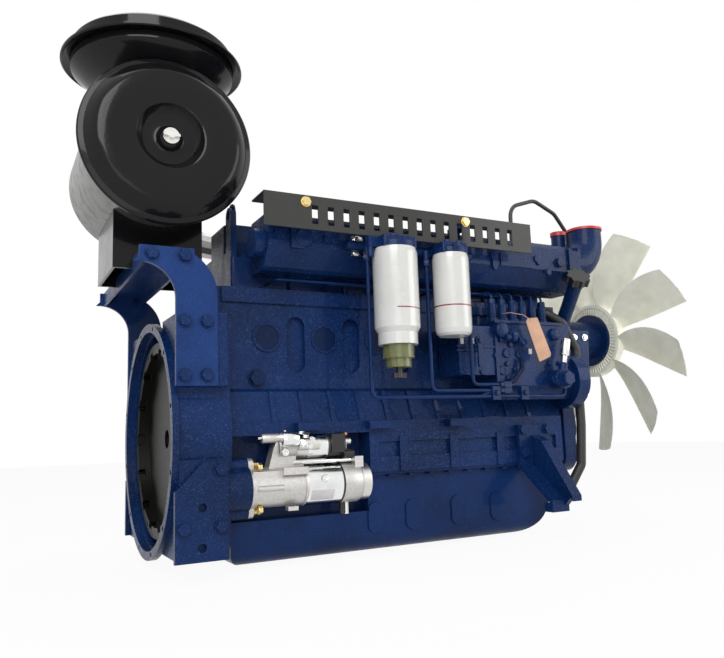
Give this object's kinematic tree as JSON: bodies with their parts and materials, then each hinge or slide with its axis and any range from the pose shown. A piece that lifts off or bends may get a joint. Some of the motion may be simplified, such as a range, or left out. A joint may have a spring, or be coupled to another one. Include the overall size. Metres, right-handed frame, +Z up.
{
  "type": "diesel engine",
  "caption": "Inline industrial diesel engine with open flywheel housing, rain-capped air cleaner, twin spin-on fuel filters, injection pump, starter and broad-bladed fan.",
  "frame": {"origin": "centre of the flywheel housing flange, in its rear face, on the crank axis", "axes": "+X along the crank from the flywheel to the fan, -Y to the fuel and starter side, +Z up along the cylinders"},
  "size_m": [1.7282, 0.775, 1.234],
  "materials": {
    "engine_blue": "semi-gloss blue enamel over cast iron and steel",
    "dark_blue": "blue enamel, thin",
    "black_paint": "semi-gloss black",
    "cover_black": "gloss black",
    "canister_grey": "satin light grey",
    "white_paint": "gloss white",
    "zinc": "zinc plated",
    "machined_steel": "machined",
    "bare_iron": "machined cast iron",
    "scaled_iron": "heat darkened",
    "aluminium": "cast",
    "duct_aluminium": "thin ribbed sheet",
    "brass": "bare brass",
    "rubber": "matt",
    "red_plastic": "soft moulded",
    "black_plastic": "moulded",
    "ivory_plastic": "moulded nylon",
    "olive_plastic": "translucent",
    "filter_paper": "pleated paper"
  },
  "bodies": {
    "engine": {"cylinder_block": "engine_blue", "bedplate": "engine_blue", "oil_pan": "engine_blue", "block_plugs": "dark_blue", "cylinder_heads": "engine_blue", "rocker_covers": "engine_blue", "cylinder_liners": "bare_iron", "pistons": "aluminium", "timing_case": "engine_blue", "flywheel_housing": "engine_blue", "rear_mount_plates": "engine_blue", "arch_bracket": "engine_blue", "painted_bolts": "engine_blue", "air_cleaner_body": "canister_grey", "air_cleaner_cover": "cover_black", "air_cleaner_saddle": "black_paint", "air_filter_element": "filter_paper", "rain_cap": "black_paint", "intake_duct": "duct_aluminium", "turbo_housing": "scaled_iron", "exhaust_manifold": "scaled_iron", "intake_manifold": "engine_blue", "intake_elbow": "engine_blue", "protection_caps": "red_plastic", "guard_plate": "black_paint", "top_brackets": "engine_blue", "brass_fasteners": "brass", "filter_canisters": "white_paint", "separator_bowl": "olive_plastic", "filter_heads": "engine_blue", "fuel_lines": "engine_blue", "injection_pump": "engine_blue", "injection_lines": "engine_blue", "feed_pump": "engine_blue", "starter_housing": "aluminium", "starter_yoke": "zinc", "starter_solenoid": "zinc", "front_mount_brackets": "engine_blue", "coolant_housing": "engine_blue", "rubber_hoses": "rubber", "drive_belts": "rubber", "alternator": "aluminium", "oil_filters": "dark_blue"},
    "crank": {"crankshaft": "machined_steel", "flywheel": "bare_iron", "crank_pulley": "dark_blue"},
    "cam": {"camshaft": "machined_steel"},
    "idler": {"idler_gear": "machined_steel"},
    "pump_drive": {"pump_drive_gear": "machined_steel"},
    "fan_assembly": {"fan": "ivory_plastic", "fan_hub": "engine_blue"},
    "alternator_spindle": {"alternator_rotor": "machined_steel"},
    "turbo_spindle": {"turbo_rotor": "machined_steel"},
    "pinion": {"starter_pinion": "machined_steel"},
    "primer": {"primer_plunger": "zinc"},
    "lever": {"throttle_lever": "zinc"},
    "cover_nut": {"wing_nut": "zinc"},
    "drain_tap": {"drain_valve": "black_plastic"},
    "oil_cap": {"filler_cap": "black_plastic"},
    "oil_stick": {"dipstick": "brass"}
  },
  "joints": [
    {"name": "crank_spin", "type": "hinge", "parent": "engine", "child": "crank", "pos_m": [0, 0, 0], "axis": [1, 0, 0], "continuous": true},
    {"name": "idler_spin", "type": "hinge", "parent": "engine", "child": "idler", "pos_m": [0, 0.01451, 0.08842], "axis": [1, 0, 0], "continuous": true},
    {"name": "camshaft_spin", "type": "hinge", "parent": "engine", "child": "cam", "pos_m": [0, -0.106, 0.114], "axis": [1, 0, 0], "continuous": true},
    {"name": "pump_drive_spin", "type": "hinge", "parent": "engine", "child": "pump_drive", "pos_m": [0, -0.24003, 0.124], "axis": [1, 0, 0], "continuous": true},
    {"name": "fan_spin", "type": "hinge", "parent": "engine", "child": "fan_assembly", "pos_m": [0, 0, 0.28], "axis": [1, 0, 0], "continuous": true},
    {"name": "alternator_spin", "type": "hinge", "parent": "engine", "child": "alternator_spindle", "pos_m": [0, 0.272, 0.2], "axis": [1, 0, 0], "continuous": true},
    {"name": "turbo_spin", "type": "hinge", "parent": "engine", "child": "turbo_spindle", "pos_m": [0, 0.215, 0.53], "axis": [1, 0, 0], "continuous": true},
    {"name": "pinion_slide", "type": "slide", "parent": "engine", "child": "pinion", "axis": [-1, 0, 0], "range_m": [0, 0.02]},
    {"name": "primer_slide", "type": "slide", "parent": "engine", "child": "primer", "axis": [0.2249, 0, 0.9744], "range_m": [0, 0.015]},
    {"name": "throttle_turn", "type": "hinge", "parent": "engine", "child": "lever", "pos_m": [0.77, -0.29, 0.222], "axis": [0, -1, 0], "range_deg": [0, 40], "stiffness_Nm_per_rad": 0.4},
    {"name": "cover_nut_turn", "type": "hinge", "parent": "engine", "child": "cover_nut", "pos_m": [-0.007, -0.289, 0.647], "axis": [0, 1, 0], "continuous": true},
    {"name": "drain_turn", "type": "hinge", "parent": "engine", "child": "drain_tap", "pos_m": [0.51, -0.335, 0.15], "axis": [0, 0, 1], "range_deg": [0, 90]},
    {"name": "oil_cap_turn", "type": "hinge", "parent": "engine", "child": "oil_cap", "pos_m": [1.11, -0.312, 0.395], "axis": [-0.2172, -0.6928, 0.6876], "range_deg": [0, 90]},
    {"name": "dipstick_slide", "type": "slide", "parent": "engine", "child": "oil_stick", "axis": [0, 0, 1], "range_m": [0, 0.35]}
  ],
  "couplings": [
    {"joint": "idler_spin", "follows": "crank_spin", "ratio": -0.6},
    {"joint": "camshaft_spin", "follows": "crank_spin", "ratio": 0.5},
    {"joint": "pump_drive_spin", "follows": "crank_spin", "ratio": -0.5},
    {"joint": "fan_spin", "follows": "crank_spin", "ratio": 1.3},
    {"joint": "alternator_spin", "follows": "crank_spin", "ratio": 3.4211}
  ]
}
